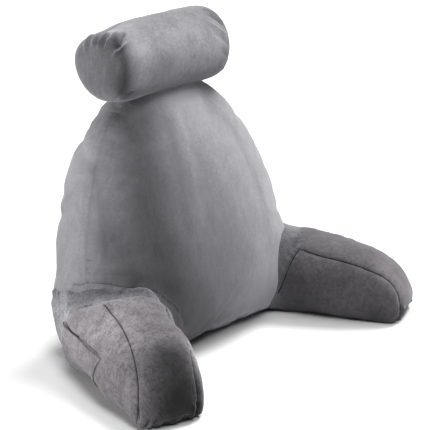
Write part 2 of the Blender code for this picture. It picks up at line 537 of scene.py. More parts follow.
def tuck_foot(obj, arm, depth=0.005, height=0.075):
    """Draws the outer side in towards its foot."""
    points = positions(obj)
    forward, out, up = arm.read(points).T
    share = np.clip(1.0 - up / height, 0.0, 1.0) ** 2 * np.clip(out / 0.05, 0.0, 1.0)
    share *= np.exp(-(((forward - 0.17) / 0.12) ** 4))
    set_positions(obj, points - arm.out * (depth * share)[:, None])


def distance_to(obj, points, reach):
    """How far each point stands off a piece, up to a reach and 0 inside it, and the nearest normals."""
    tree = tree_of(obj)
    gaps = np.full(len(points), reach)
    normal = np.zeros((len(points), 3))
    for i, point in enumerate(points):
        spot, way, _, gap = tree.find_nearest(Vector(point), reach)
        if spot is not None:
            gaps[i] = gap if (Vector(point) - spot).dot(way) > 0.0 else 0.0
            normal[i] = way
    return gaps, normal


def flare(obj, other, amount, reach):
    """Widens the surface where it comes up to its neighbour, as a collar that is sewn on there."""
    points, out = positions(obj), normals(obj)
    gaps, normal = distance_to(other, points, 5.0 * reach)
    out -= normal * (out * normal).sum(axis=1)[:, None]
    share = np.exp(-((gaps / reach) ** 0.8)) * (gaps < 5.0 * reach)
    set_positions(obj, points + out * (amount * share)[:, None])


def swell_to(obj, node, amount, reach):
    """Swells the surface where a neighbour is sewn on, so that it runs out into it."""
    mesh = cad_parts[node].data
    work = bmesh.new()
    work.from_mesh(mesh)
    tree = BVHTree.FromBMesh(work)
    work.free()
    points, out = positions(obj), normals(obj)
    gaps = np.full(len(points), 1.0)
    for i in np.nonzero(points[:, 2] < 0.32)[0]:
        spot, _, _, gap = tree.find_nearest(Vector(points[i]), 5.0 * reach)
        if spot is not None:
            gaps[i] = gap
    above = np.clip(points[:, 2] / 0.10, 0.0, 1.0)
    share = np.exp(-np.maximum(gaps - 0.002, 0.0) / reach) * (gaps < 5.0 * reach) * above
    set_positions(obj, points + out * (amount * share)[:, None])


def soften_join(obj, other, reach=0.006):
    """Smooths the surface where it lies on its neighbour, and keeps it off."""
    gaps, _ = distance_to(other, positions(obj), 3.0 * reach)
    group = obj.vertex_groups.new(name="join")
    for i in np.nonzero(gaps < 2.5 * reach)[0]:
        group.add([int(i)], float(math.exp(-gaps[i] / reach)), "REPLACE")
    apply_modifier(obj, "SMOOTH", factor=0.5, iterations=8, vertex_group="join")
    obj.vertex_groups.clear()
    keep_off(obj, other, SEWN_DEPTH)


def square_ends(obj, roll, power, bulge):
    """Makes the roll's ends flatter discs with a tight round edge."""
    along, radius, turn = roll.read(positions(obj)).T
    share = np.abs(along) / ROLL_HALF_LENGTH
    level = radius / ROLL_RADIUS
    size = (share**power + level**power) ** (1.0 / power)
    near = np.clip((share - 0.62) / 0.28, 0.0, 1.0)
    near = near * near * (3.0 - 2.0 * near)
    scale = 1.0 + near * (1.0 / np.maximum(size, 0.5) - 1.0)
    crown = bulge * near * np.clip(1.0 - (level * scale) ** 2, 0.0, 1.0) * np.sign(along)
    set_positions(obj, roll.place(np.column_stack([along * scale + crown, radius * scale, turn])))


def keep_off(obj, other, gap=CLEARANCE):
    """Moves the points of one piece that lie deep inside its neighbour out to near its surface."""
    tree = tree_of(other)
    low, high = positions(other).min(axis=0), positions(other).max(axis=0)
    points = positions(obj)
    near = np.nonzero(((points > low) & (points < high)).all(axis=1))[0]
    for i in near:
        spot, normal, _, distance = tree.find_nearest(Vector(points[i]), 0.06)
        if spot is None:
            continue
        inside = (Vector(points[i]) - spot).dot(normal)
        if inside < gap:
            points[i] = spot + normal * gap
    set_positions(obj, points)


def rest_on_floor(obj):
    """Presses whatever hangs below the floor flat on it."""
    points = positions(obj)
    points[:, 2] = np.maximum(points[:, 2], 0.0)
    set_positions(obj, points)


# ---------------------------------------------------------------- materials


class Wire:
    """A shader socket that works in Python expressions: each operator adds its Math node."""

    def __init__(self, shader, socket):
        self.shader, self.socket = shader, socket

    def math(self, operation, *values):
        sockets = dict(enumerate(values))
        return self.shader.add("ShaderNodeMath", {"operation": operation}, sockets)

    def __add__(self, other):
        return self.math("ADD", self, other)

    __radd__ = __add__

    def __sub__(self, other):
        return self.math("SUBTRACT", self, other)

    def __rsub__(self, other):
        return self.math("SUBTRACT", other, self)

    def __mul__(self, other):
        return self.math("MULTIPLY", self, other)

    __rmul__ = __mul__

    def __truediv__(self, other):
        return self.math("DIVIDE", self, other)

    def clamp(self):
        return self.math("MINIMUM", self.math("MAXIMUM", self, 0.0), 1.0)


class Shader:
    """A material's node tree, built node by node."""

    def __init__(self, name):
        self.material = bpy.data.materials.new(name)
        self.material.use_nodes = True
        self.tree = self.material.node_tree
        self.surface = self.tree.nodes["Principled BSDF"]

    def add(self, kind, settings=None, sockets=None, output=0):
        """A node of a kind, with its settings, then its sockets' values or wires, as an output's wire."""
        node = self.tree.nodes.new(kind)
        for key, value in (settings or {}).items():
            setattr(node, key, value)
        self.fill(node, sockets or {})
        return Wire(self, node.outputs[output])

    def fill(self, node, sockets):
        for key, value in sockets.items():
            if isinstance(value, Wire):
                self.tree.links.new(value.socket, node.inputs[key])
            else:
                node.inputs[key].default_value = value

    def mix(self, share, one, two):
        """A mix of two colours."""
        return self.add("ShaderNodeMix", {"data_type": "RGBA"}, {0: share, 6: one, 7: two}, 2)

    def noise(self, place, scale, detail, roughness, distortion=0.0):
        sockets = {"Vector": place, "Scale": scale, "Detail": detail, "Roughness": roughness}
        sockets["Distortion"] = distortion
        return self.add("ShaderNodeTexNoise", {}, sockets)

    def stretched(self, place, scale):
        """Object coordinates scaled, for a pattern with a direction."""
        return self.add("ShaderNodeMapping", {}, {"Vector": place, "Scale": scale})

    def smooth(self, value, low, high):
        """0 below low, 1 above high, and smooth between."""
        return self.add(
            "ShaderNodeMapRange",
            {"interpolation_type": "SMOOTHSTEP"},
            {"Value": value, "From Min": low, "From Max": high, "To Min": 0.0, "To Max": 1.0},
        )

    def attribute(self, name):
        return self.add("ShaderNodeAttribute", {"attribute_name": name}, {}, 2)


# The darkest and lightest shares of the plain colour, for the painted light and shade with the nap's tone.
LIGHT_AND_NAP_DARKEST, LIGHT_AND_NAP_LIGHTEST = 0.08, 2.8  # shares of the plain colour
# The sizes of the plush's patches, streaks and grain.
PATCH_SIZE = 0.055
STREAK_SIZE = 0.010
GRAIN_SIZE = 0.0040


def plush(name, colour, mottle, stretch=0.35, collar=None):
    """Short-pile plush: painted light and shade lie in broad sweeps, and the nap lies lighter and darker in
    patches and short streaks.
    """
    shader = Shader(name)
    place = shader.add("ShaderNodeTexCoord", {}, {}, 3)
    brushed = shader.stretched(place, (1.0, 1.0, stretch))
    patches = shader.noise(brushed, 1.0 / PATCH_SIZE, 4.0, 0.65, 0.8)
    streaks = shader.noise(brushed, 1.0 / STREAK_SIZE, 3.0, 0.7, 0.3)
    grain = shader.noise(place, 1.0 / GRAIN_SIZE, 2.0, 0.7)

    lie = shader.smooth(0.34 * patches + 0.32 * streaks + 0.34 * grain, 0.37, 0.63)
    # the stored painted light and shade, times the nap's own random tone
    tone = shader.attribute("painted_light_and_nap") * (1.0 - mottle + 2.0 * mottle * lie)
    share = ((tone - LIGHT_AND_NAP_DARKEST) / (LIGHT_AND_NAP_LIGHTEST - LIGHT_AND_NAP_DARKEST)).clamp()
    body = shader.mix(share, tinted(colour, LIGHT_AND_NAP_DARKEST), tinted(colour, LIGHT_AND_NAP_LIGHTEST))
    if collar:
        other = shader.mix(share, tinted(collar, LIGHT_AND_NAP_DARKEST), tinted(collar, LIGHT_AND_NAP_LIGHTEST))
        body = shader.mix(shader.attribute("collar"), body, other)
    # painted shade in each seam's groove and valley, and in the creases; the seam's line is partly its own
    # dark joint
    seam = shader.attribute("seam")
    line = 1.0 - shader.smooth(seam, 0.0004, 0.0019)
    seam_valley_shade = 1.0 - shader.smooth(seam, 0.001, 0.010)
    shade = (0.12 * seam_valley_shade + 0.78 * line + 0.9 * shader.attribute("crease_shade")).clamp()
    body = shader.mix(shade, body, tinted(colour, 0.18))

    height = 0.0012 * patches + 0.0009 * streaks + 0.00025 * grain
    bump = shader.add("ShaderNodeBump", {}, {"Strength": 2.0 * mottle, "Distance": 1.0, "Height": height})
    shader.fill(
        shader.surface,
        {
            "Base Color": body,
            "Roughness": 0.92,
            "Metallic": 0.0,
            "Specular IOR Level": 0.12,
            "Sheen Weight": 0.26,
            "Sheen Roughness": 0.5,
            "Sheen Tint": (0.95, 0.96, 1.0, 1.0),
            "Normal": bump,
        },
    )
    return shader.material


def tinted(colour, share):
    return tuple(c * share for c in colour) + (1.0,)


def wear(obj, material):
    obj.data.materials.clear()
    obj.data.materials.append(material)


# ---------------------------------------------------------------- seams and creases
# All rows are in millimetres: x, y and z on the back, forward, out and height on the arms.

# Where the arms' collars are sewn to the back's front.
RIGHT_ROOT_SEAM = (
    (-262, 168, 118),
    (-267, 138, 144),
    (-267, 105, 160),
    (-259, 65, 171),
    (-245, 39, 170),
    (-223, 21, 162),
    (-187, 3, 149),
    (-168, -4, 137),
    (-148, -11, 121),
    (-132, -15, 103),
)
LEFT_ROOT_SEAM = (
    (266, 138, 144),
    (267, 105, 158),
    (260, 65, 165),
    (246, 36, 150),
    (236, 22, 115),
    (228, 10, 60),
    (220, 6, 10),
)
# The back's front seam, from the right foot over the top to the left foot.
BACK_FRONT_SEAM = (
    (-262, 78, 150),
    (-265, 90, 190),
    (-257, 96, 232),
    (-240, 102, 301),
    (-205, 116, 384),
    (-160, 135, 445),
    (-100, 140, 492),
    (-40, 140, 510),
    (20, 140, 511),
    (90, 138, 496),
    (160, 130, 445),
    (205, 112, 384),
    (240, 98, 301),
    (258, 90, 232),
    (263, 80, 160),
)
BACK_CREASES = (
    # the right collar's swell below its seam
    Stroke([(-262, 110, 142), (-250, 60, 152), (-220, 24, 146), (-180, 2, 130)], 4, 14),
    # two thin folds where the right root seam ends
    Stroke([(-187, 3, 152), (-166, -4, 143), (-146, -10, 124), (-130, -14, 101)], 1.8, 2.8),
    Stroke([(-172, -3, 133), (-156, -9, 122), (-141, -12, 110), (-130, -14, 100)], 2, 2.8),
    Stroke([(-168, -4, 137), (-151, -10, 124), (-136, -14, 107)], -1.4, 4, shade=0.25),
    Stroke([(-136, -14, 104), (-124, -16, 86), (-117, -17, 64)], -2.2, 5, shade=0.1),
    # curved tucks on the right collar's outer corner
    Stroke([(-262, 172, 100), (-265, 150, 124), (-268, 125, 137), (-266, 98, 146)], -1.8, 3.5),
    Stroke([(-262, 168, 86), (-266, 146, 108), (-268, 122, 122)], 2, 4),
    # level tucks beside the front seam, above the right arm
    Stroke([(-263, 86, 186), (-246, 46, 190), (-214, 18, 186)], -1.2, 4),
    Stroke([(-264, 90, 198), (-252, 56, 203), (-232, 32, 201)], 1, 4),
    Stroke([(-264, 96, 212), (-254, 62, 214)], -1, 3.5),
    # the foot's scallops, which the floor presses up
    Stroke([(-70, -12, 34), (-66, -4, 0)], -3, 8),
    Stroke([(-20, -10, 30), (-18, 0, 0)], -3.5, 7),
    Stroke([(12, -10, 28), (12, 0, 0)], 2.5, 7.5),
    Stroke([(40, -10, 36), (38, 0, 0)], -4.5, 8.5),
    Stroke([(75, -6, 34), (74, 4, 0)], 2.5, 8),
    Stroke([(108, -2, 34), (105, 6, 0)], -4, 8.5),
    Stroke([(150, 6, 40), (146, 14, 0)], -4, 9),
    Stroke([(182, 16, 40), (178, 24, 0)], 3, 8.5),
)
BACK_PAINTED_LIGHT_AND_NAP = (
    # painted shade: the dark sweep down the front
    LightAndNapBrush(
        [(-120, 100, 460), (-140, 75, 410), (-156, 45, 330), (-162, 20, 240),
         (-150, -6, 150), (-110, -14, 75), (-60, -8, 20)],
        46, -1.0,
    ),
    # painted light: its broad light neighbour and the light side band
    LightAndNapBrush([(10, 80, 460), (100, 30, 360), (150, 10, 250), (150, 0, 120)], 110, 1.0),
    LightAndNapBrush([(170, 90, 420), (225, 70, 300), (240, 40, 160), (180, 6, 20)], 45, 0.45),
    LightAndNapBrush([(-200, 155, 400), (-240, 136, 315), (-262, 126, 225)], 45, 0.45),
    # painted light right under the neck roll, to narrow its shadow, and a darker patch beside it
    LightAndNapBrush([(-100, 105, 475), (-30, 95, 480), (40, 90, 475)], 26, 0.70),
    LightAndNapBrush([(-160, 130, 462), (-140, 120, 474)], 24, -0.50),
    # the shade on the cushion above the right arm
    LightAndNapBrush([(-232, 54, 250), (-225, 34, 210), (-215, 24, 175)], 34, -0.60),
    LightAndNapBrush([(-244, 50, 178), (-200, 14, 172), (-150, -6, 150)], 22, -0.50),
    # faint streaks beside the sweep, where hands brushed the nap
    LightAndNapBrush([(-60, 80, 440), (-80, 40, 340), (-85, 10, 240)], 10, -0.22),
    LightAndNapBrush([(-30, 85, 455), (-45, 45, 350), (-50, 12, 250)], 9, 0.18),
    LightAndNapBrush([(60, 85, 460), (110, 50, 380), (140, 20, 280), (150, 0, 160)], 16, -0.25),
    LightAndNapBrush([(-215, 120, 380), (-225, 85, 300), (-232, 70, 220)], 10, -0.20),
    # painted shade low on the front, beside the right arm
    LightAndNapBrush([(-130, 0, 220), (-85, -12, 110), (-20, -10, 40)], 40, -0.40),
    # the foot catches the floor's light
    LightAndNapBrush([(-50, -4, 6), (60, -2, 8), (180, 10, 12)], 18, 0.90),
    LightAndNapBrush([(-262, 120, 165), (-266, 150, 120)], 26, 0.30),
)
RIGHT_ARM_PAINTED_LIGHT = (
    # painted shade on the nose's front and foot
    LightAndNapBrush([(345, -8, 108), (360, -12, 92), (382, -14, 50), (379, -16, 10)], 34, -2.6),
    LightAndNapBrush([(374, -30, 50), (378, -30, 6)], 24, -1.3),
    LightAndNapBrush([(345, 30, 95), (372, 30, 50), (378, 30, 10)], 24, -0.5),
    # painted light on the sliver of the inner side, beyond its seam
    LightAndNapBrush([(300, -74, 110), (345, -64, 85), (366, -56, 40)], 14, 1.0),
    # the collar lies in the shade behind the arm's crown
    LightAndNapBrush([(60, 50, 160), (105, 30, 164), (130, 0, 166), (140, -40, 160)], 26, -1.0),
    # painted shade on the nose's foot
    LightAndNapBrush([(372, 10, 40), (378, 0, 6)], 40, -1.2),
    # painted light on the outer side and the top
    LightAndNapBrush([(90, 74, 90), (180, 74, 110), (230, 60, 125)], 45, 0.70),
    LightAndNapBrush([(130, 76, 60), (190, 76, 30)], 40, 0.35),
    LightAndNapBrush([(170, 10, 160), (200, 20, 156)], 40, 0.35),
    LightAndNapBrush([(40, 70, 130), (60, 78, 60)], 35, 0.35),
)
LEFT_ARM_PAINTED_LIGHT = (
    # painted shade on the collar's inner side
    LightAndNapBrush([(60, -60, 140), (110, -50, 155)], 30, -0.30),
    # painted light and shade on the collar's pleats
    LightAndNapBrush([(150, -70, 124), (134, -76, 90), (122, -77, 60)], 4, 0.9),
    LightAndNapBrush([(141, -68, 132), (122, -76, 92)], 4, -0.7),
    LightAndNapBrush([(130, -64, 140), (112, -76, 96)], 4.5, 0.8),
    LightAndNapBrush([(158, -62, 146), (160, -48, 155)], 6, -0.8),
    # painted light on the nose's inner side, and painted shade on the inner side, the top and the foot
    LightAndNapBrush([(345, -44, 98), (376, -35, 70)], 26, 0.40),
    LightAndNapBrush([(140, -74, 100), (170, -76, 30)], 50, -0.65),
    LightAndNapBrush([(200, -76, 70), (250, -76, 70), (330, -72, 50)], 55, -0.60),
    LightAndNapBrush([(180, -30, 158), (280, -30, 136)], 35, -0.30),
    LightAndNapBrush([(340, -66, 15), (375, -50, 12), (380, -20, 12)], 28, -0.80),
    LightAndNapBrush([(140, -50, 155), (160, -20, 160)], 30, -0.30),
)
ROLL_PAINTED_LIGHT = (
    # painted light along the roll's front
    LightAndNapBrush([(-100, 75.5, 40), (0, 75.5, 36), (90, 75.5, 30)], 50, 0.65),
    LightAndNapBrush([(-112, 75.5, 20), (-112, 75.5, -20)], 24, 0.50),
    LightAndNapBrush([(0, 75.5, 0), (100, 75.5, -6)], 30, 0.35),
    # painted shade on the right end, beside its front edge
    LightAndNapBrush([(-158, 54, 62), (-162, 46, 30), (-162, 44, 0), (-160, 50, -32)], 26, -1.00),
    LightAndNapBrush([(-150, 68, 50), (-155, 65, 20), (-155, 65, -10), (-150, 68, -40)], 10, -0.80),
    LightAndNapBrush([(-152, 66, -20), (-140, 73, -44), (-130, 73, -50)], 18, -0.70),
    LightAndNapBrush([(-160, 50, 130), (-162, 20, 150), (-162, 30, -120)], 50, -0.60),
    # painted light on the right end's upper edge and the top beside it
    LightAndNapBrush([(-148, 70, 92), (-138, 73, 84)], 16, 0.80),
    LightAndNapBrush([(-120, 75.5, 80), (-100, 75.5, 74)], 16, 0.25),
    # painted shade along the roll's lower front
    LightAndNapBrush([(-110, 75.5, -50), (0, 75.5, -50), (100, 75.5, -46)], 28, -1.05),
)
BACK_NUDGES = (
    # x, y, z, reach, and the way
    (-235, 150, 370, 60, -6, 0, 2),
    (-165, 170, 465, 50, 6, 0, -8),
    # the right side swells out towards its foot
    (-262, 175, 300, 90, -5, 5, 0),
    (-268, 180, 190, 70, -5, 5, 0),
    (-268, 180, 110, 60, -2, 2, 0),
    # the left side is a little fuller
    (262, 30, 160, 70, 7, -6, 0),
    (255, 50, 260, 60, 4, -3, 0),
)

ARM_CREASES = (
    # short slanted tucks beside the outer seam
    Stroke([(271, 43, 137), (273, 56, 131), (268, 68, 118)], -1.5, 4.2, shade=0.08),
    Stroke([(286, 47, 130), (286, 60, 122), (279, 69, 108)], -1.3, 4.6, shade=0.05),
    Stroke([(255, 42, 141), (254, 56, 133)], 0.9, 5),
    Stroke([(300, 50, 124), (304, 63, 106), (300, 70, 88)], -0.9, 5.5),
    # the seam allowance's ridge beside the outer seam, down the nose
    Stroke([(320, 58, 106), (345, 66, 80), (356, 70, 45), (354, 69, 12)], 1.6, 4.5),
    # a soft hollow across the top
    Stroke([(236, 30, 150), (240, 0, 153), (246, -40, 147)], -2, 16),
    # the nose's gathers at the floor, at its outer corner
    Stroke([(373, 62, 3), (378, 54, 14), (380, 47, 28)], -5, 3.8, shade=0.7),
    Stroke([(376, 56, 2), (380, 49, 13), (381, 42, 24)], 3, 3.6),
    Stroke([(377, 50, 2), (381, 42, 14), (382, 35, 28)], -4.6, 3.8, shade=0.6),
    Stroke([(377, 40, 2), (381, 34, 16)], -2.6, 4.2, shade=0.2),
    # notches along the nose's foot
    Stroke([(376, 20, 2), (381, 18, 18)], -2.8, 6),
    Stroke([(376, 0, 2), (381, 1, 16)], 2.2, 7),
    Stroke([(378, 66, 16), (374, 66, 34), (366, 68, 50)], -3, 4, shade=0.35),
    Stroke([(376, -18, 2), (381, -19, 22)], -3.4, 6, shade=0.1),
    # the dark fold at the inner corner
    Stroke([(372, -50, 2), (378, -45, 18), (380, -44, 40)], -5.5, 5.2, shade=0.45),
    Stroke([(374, -38, 2), (380, -36, 20), (381, -37, 36)], 3, 5),
    Stroke([(374, -30, 2), (381, -28, 20)], -2.6, 4.6, shade=0.2),
    # long soft swells that leave the inner seam
    Stroke([(330, -57, 106), (300, -73, 80), (280, -78, 50)], -1.6, 9),
    Stroke([(230, -68, 128), (222, -77, 100), (220, -78, 60)], -1.4, 8),
    Stroke([(250, -67, 126), (246, -77, 100)], 1.4, 8),
    Stroke([(190, -67, 134), (184, -77, 105)], -1.4, 7),
)
# The left arm's inner panel ends in a deep seam against its pleated collar.
PLEAT_SEAM = Seam(
    [(172, -66, 139), (167, -71, 128), (153, -76, 97), (138, -78, 64), (130, -78, 46)],
    1.3,
    1.0,
)
RIGHT_ARM_CREASES = (
    # the shade in the pocket's open mouth
    Stroke([(79, 77, 103.4), (125, 77, 100.6), (160, 77, 98.2)], -2, 3.6, shade=1.0),
    Stroke([(160, 77, 98.2), (205, 76, 95.5), (248, 73, 93)], -1.4, 2.2, shade=0.8),
    # the pleat's edge where the collar seam turns down the outer side
    Stroke([(74, 77, 116), (86, 72, 134), (112, 66, 146), (138, 52, 156)], 1.8, 4.2),
    Stroke([(60, 74, 112), (70, 70, 134), (92, 60, 146)], -2, 4.6, shade=0.15),
    Stroke([(46, 74, 106), (52, 68, 132), (72, 56, 148)], 1.4, 6),
    # slack beside the pocket's mouth
    Stroke([(128, 72, 128), (140, 75, 116), (140, 77, 106)], -1.2, 5),
    Stroke([(200, 64, 130), (196, 72, 112)], -1.2, 6),
)
LEFT_ARM_CREASES = (
    # the dimple where the collar seam crosses the top, and the dark fold behind the inner panel
    Stroke([(160, -52, 153), (166, -30, 158), (164, -10, 160)], -2.2, 6, shade=0.3),
    Stroke([(150, -70, 132), (138, -76, 98), (120, -77, 56)], 4, 6.5),
    Stroke([(136, -70, 130), (122, -76, 98), (108, -77, 66)], -2.6, 5, shade=0.12),
)
ARM_NUDGES = (
    # forward, out, height, reach, and the way
    (250, -76, 90, 80, 0, -7, 0),
    (170, -74, 120, 50, 0, -6, 2),
    (370, 56, 10, 35, 6, 5, 0),
    (250, 78, 30, 60, 0, 7, 0),
)

# The roll's creases, as along, radius and degrees up from the front.
ROLL_CREASES = (
    # the deep slanted fold at the right end and the bright one below it
    Stroke([(-116, 73, 66), (-134, 71, 55), (-150, 66, 44), (-158, 54, 38)], -6.2, 5.2, shade=0.55),
    Stroke([(-128, 72, 44), (-146, 70, 39), (-156, 58, 35), (-160, 46, 33)], 4, 3.6),
    Stroke([(-130, 72, 74), (-148, 68, 64), (-158, 56, 58)], 4.2, 8),
    # gathers over the right end's edge
    Stroke([(-134, 73, 80), (-152, 66, 74), (-159, 50, 70), (-161, 36, 66)], -3.6, 4, shade=0.20),
    Stroke([(-136, 73, 88), (-153, 66, 82), (-160, 50, 82), (-162, 34, 82)], 3.6, 3.4),
    Stroke([(-138, 73, 94), (-154, 66, 90), (-160, 50, 90), (-162, 30, 92)], -3.8, 4, shade=0.22),
    Stroke([(-138, 73, 101), (-154, 66, 98), (-160, 50, 100), (-162, 36, 104)], 3.6, 3.4),
    Stroke([(-138, 73, 108), (-154, 66, 108), (-160, 48, 114), (-162, 32, 124)], -3.4, 4, shade=0.18),
    Stroke([(-140, 73, 118), (-155, 64, 119), (-160, 46, 126), (-162, 30, 142)], 3, 4),
    Stroke([(-140, 73, 127), (-155, 64, 130), (-160, 46, 138)], -3, 4.2, shade=0.1),
    # the rear panel's edge, just behind the crest, at both ends
    Stroke([(-60, 75.5, 106), (-100, 75.5, 100), (-136, 73, 96), (-155, 62, 98)], -3, 4.5, shade=0.12),
    Stroke([(20, 75.5, 108), (60, 75.5, 103), (100, 75.5, 101)], -2.6, 4.5, shade=0.12),
    # small folds at the right end's foot
    Stroke([(-122, 74, -34), (-134, 73, -46), (-132, 72, -60)], -4, 4.2, shade=0.35),
    Stroke([(-136, 72, -40), (-144, 70, -52), (-138, 70, -64)], 3.4, 3.6),
    # slanted wrinkles at the left end
    Stroke([(100, 75, 78), (124, 74, 66), (146, 70, 52), (154, 64, 44)], -3.4, 4.2, shade=0.25),
    Stroke([(104, 75, 66), (124, 74, 54), (146, 70, 40)], 2.6, 4),
    Stroke([(98, 75, 60), (122, 74, 46), (144, 70, 30)], -2.4, 4.2, shade=0.12),
    Stroke([(86, 75, 50), (112, 74, 34), (138, 72, 18)], 1.8, 5),
    Stroke([(90, 75, 30), (120, 74, 14), (142, 71, 0)], -1.6, 6),
    Stroke([(110, 75, 0), (134, 73, -14), (146, 70, -26)], -2.2, 5, shade=0.1),
    Stroke([(106, 75, -20), (128, 73, -34), (142, 70, -44)], 1.8, 5),
)
ROLL_NUDGES = (
    # along, radius, degrees, reach, and the way in the frame
    (-130, 75.5, 105, 50, 0, 0, -9),
    (-155, 60, 150, 50, -4, 3, -3),
    (140, 75.5, 95, 50, 0, 0, 4),
    (155, 60, 0, 60, -7, 0, 0),
)


# ---------------------------------------------------------------- operators


def finish(obj, node, material):
    """Presses the piece flat on the floor, dresses it and ties it to the frame."""
    rest_on_floor(obj)
    obj.data.shade_smooth()
    wear(obj, material)
    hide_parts(node)
    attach(obj, "root")


def add_lumps(obj, broad, fine, seed):
    """Uneven filling: (size, height) of a broad and of a fine ripple."""
    points = positions(obj)
    lumps = ripple(points, broad[0], seed) * broad[1] + ripple(points, fine[0], seed + 1) * fine[1]
    set_positions(obj, points + normals(obj) * lumps[:, None])


class PILLOW_OT_back(bpy.types.Operator):
    """Make the stuffed back"""

    bl_idname = "pillow.back"
    bl_label = "Back"

    def execute(self, context):
        settings = context.scene.pillow
        obj = stuffed("back_pillow", "back_cushion", BACK_VOXEL, settings, softness=10)
        add_lumps(obj, (0.14, 0.0014), (0.055, 0.0005), 3)
        nudge(obj, BACK_NUDGES)
        swell_to(obj, "arm_right", 0.015, 0.020)
        swell_to(obj, "arm_left", 0.006, 0.014)
        apply_modifier(obj, "SMOOTH", factor=0.5, iterations=3)
        pucker(obj, BACK_FRONT_SEAM, 0.015, 0.028, 0.0024, 5)
        roots = [Seam(RIGHT_ROOT_SEAM, 0.55, 0.75), Seam(LEFT_ROOT_SEAM, 0.5, 0.6)]
        sew(obj, [*roots, Seam(BACK_FRONT_SEAM, 0.16, 0.12)], settings, 1.3)
        set_attribute(obj, "crease_shade", lay_strokes(obj, BACK_CREASES))
        paint_light_and_nap(obj, BACK_PAINTED_LIGHT_AND_NAP)
        finish(obj, "back_cushion", plush("back_plush", settings.plush_colour, 0.12))
        return {"FINISHED"}


class PILLOW_OT_arms(bpy.types.Operator):
    """Make both stuffed arms, sewn to the back's foot"""

    bl_idname = "pillow.arms"
    bl_label = "Arms"

    def execute(self, context):
        settings = context.scene.pillow
        back = bpy.data.objects["back_pillow"]
        for side, name, node, own, light_and_nap, step, mottle in (
            (-1, "right_armrest", "arm_right", RIGHT_ARM_CREASES, RIGHT_ARM_PAINTED_LIGHT, 0.010, 0.42),
            (1, "left_armrest", "arm_left", LEFT_ARM_CREASES, LEFT_ARM_PAINTED_LIGHT, 0.003, 0.26),
        ):
            arm = ArmFrame(side)
            obj = stuffed(name, node, ARM_VOXEL, settings)
            add_lumps(obj, (0.10, 0.0014), (0.04, 0.0006), 7 + side)
            nudge(obj, ARM_NUDGES, arm.place, lambda way: arm.place(way) - arm.start)
            tuck_foot(obj, arm)
            behind = slim_collar(obj, arm, step)
            flare(obj, back, COLLAR_FLARE, COLLAR_FLARE)
            set_attribute(obj, "collar", behind)
            collar = [Seam(COLLAR_SEAM, 0.9, 0.5)]
            if side > 0:
                collar = [Seam(COLLAR_SEAM[:8], 0.5, 0.25), PLEAT_SEAM]
            sew(obj, [Seam(OUTER_SEAM), Seam(INNER_SEAM), *collar], settings, 2.0 + side, arm.place)
            set_attribute(obj, "crease_shade", lay_strokes(obj, ARM_CREASES + own, arm.place))
            keep_off(obj, back, SEWN_DEPTH)
            soften_join(obj, back)
            paint_light_and_nap(obj, light_and_nap, arm.place)
            material = plush(name + "_plush", settings.arm_colour, mottle, 0.75, settings.plush_colour)
            finish(obj, node, material)
        return {"FINISHED"}


class PILLOW_OT_roll(bpy.types.Operator):
    """Make the neck roll that rests on the back's top"""

    bl_idname = "pillow.roll"
    bl_label = "Neck roll"

    def execute(self, context):
        settings = context.scene.pillow
        roll = RollFrame()
        obj = stuffed("head_roll", "neck_roll", ROLL_VOXEL, settings)
        add_lumps(obj, (0.11, 0.0012), (0.045, 0.0005), 12)
        square_ends(obj, roll, 7.0, 5.0)
        nudge(obj, ROLL_NUDGES, roll.place)
        turn = np.arange(0, 360, 6)
        rings = [[(end, 70, angle) for angle in turn] for end in (-153, 153)]
        sew(obj, [Seam(ring, 0.25, 0.0, closed=True) for ring in rings], settings, 4.1, roll.place)
        set_attribute(obj, "crease_shade", lay_strokes(obj, ROLL_CREASES, roll.place))
        keep_off(obj, bpy.data.objects["back_pillow"])
        paint_light_and_nap(obj, ROLL_PAINTED_LIGHT, roll.place)
        finish(obj, "neck_roll", plush("roll_plush", settings.plush_colour, 0.20))
        return {"FINISHED"}


